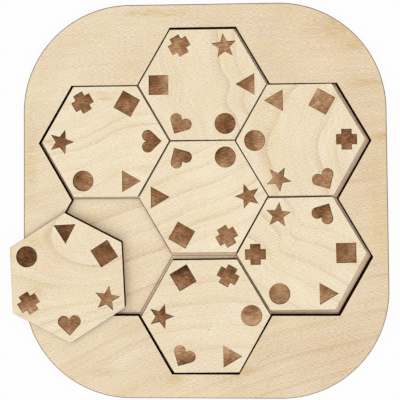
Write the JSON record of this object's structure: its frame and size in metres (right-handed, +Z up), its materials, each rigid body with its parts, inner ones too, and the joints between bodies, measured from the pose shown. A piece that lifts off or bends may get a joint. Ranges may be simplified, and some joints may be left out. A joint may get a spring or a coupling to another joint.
{
  "type": "wooden shape puzzle",
  "caption": "Plywood tray with a honeycomb opening that holds lift-out hexagon tiles, each engraved with simple shapes that agree where tile corners meet.",
  "frame": {"origin": "middle of the honeycomb of cells, on the tray's underside", "axes": "+Z up out of the tray, +Y towards its far end, +X to its right"},
  "size_m": [0.2253, 0.2364, 0.0126],
  "materials": {
    "base_birch": "bare sanded birch plywood with fine scored cell lines",
    "frame_birch": "bare sanded birch plywood with charred laser-cut edges",
    "tile_birch": "bare sanded birch plywood with charred edges and brown engraved shapes"
  },
  "bodies": {
    "tray": {"base_board": "base_birch", "frame_board": "frame_birch"},
    "tile_center": {"tile_center": "tile_birch"},
    "tile_upper_right": {"tile_upper_right": "tile_birch"},
    "tile_top": {"tile_top": "tile_birch"},
    "tile_upper_left": {"tile_upper_left": "tile_birch"},
    "tile_lower_left": {"tile_lower_left": "tile_birch"},
    "tile_bottom": {"tile_bottom": "tile_birch"},
    "tile_lower_right": {"tile_lower_right": "tile_birch"}
  },
  "joints": [
    {"name": "tile_center_lift", "type": "slide", "parent": "tray", "child": "tile_center", "axis": [0, 0, 1], "range_m": [0, 0.05]},
    {"name": "tile_upper_right_lift", "type": "slide", "parent": "tray", "child": "tile_upper_right", "axis": [0, 0, 1], "range_m": [0, 0.05]},
    {"name": "tile_top_lift", "type": "slide", "parent": "tray", "child": "tile_top", "axis": [0, 0, 1], "range_m": [0, 0.05]},
    {"name": "tile_upper_left_lift", "type": "slide", "parent": "tray", "child": "tile_upper_left", "axis": [0, 0, 1], "range_m": [0, 0.05]},
    {"name": "tile_lower_left_lift", "type": "slide", "parent": "tray", "child": "tile_lower_left", "axis": [0, 0, 1], "range_m": [0, 0.05]},
    {"name": "tile_bottom_lift", "type": "slide", "parent": "tray", "child": "tile_bottom", "axis": [0, 0, 1], "range_m": [0, 0.05]},
    {"name": "tile_lower_right_lift", "type": "slide", "parent": "tray", "child": "tile_lower_right", "axis": [0, 0, 1], "range_m": [0, 0.05]}
  ]
}
